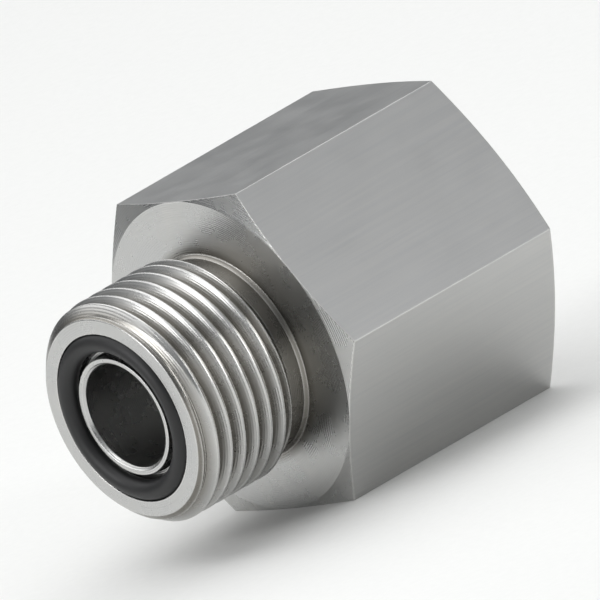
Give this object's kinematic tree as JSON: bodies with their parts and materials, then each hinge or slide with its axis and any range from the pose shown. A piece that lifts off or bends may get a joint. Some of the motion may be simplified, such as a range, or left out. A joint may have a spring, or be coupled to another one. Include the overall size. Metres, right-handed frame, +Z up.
{
  "type": "face seal fitting",
  "caption": "Straight steel hydraulic adapter: a hexagon with a male face-seal nose, O-ring and external thread at one end and a threaded port at the other.",
  "frame": {"origin": "centre of the sealing face, on the flow axis", "axes": "the flow axis is Y; the sealing nose faces -Y and the port opens towards +Y; the hexagon lies on a flat with +Z up"},
  "size_m": [0.033, 0.0382, 0.0286],
  "materials": {
    "steel": "turned bright",
    "seal": "satin"
  },
  "bodies": {
    "root": {"fitting_body": "steel", "face_o_ring": "seal"}
  },
  "joints": []
}
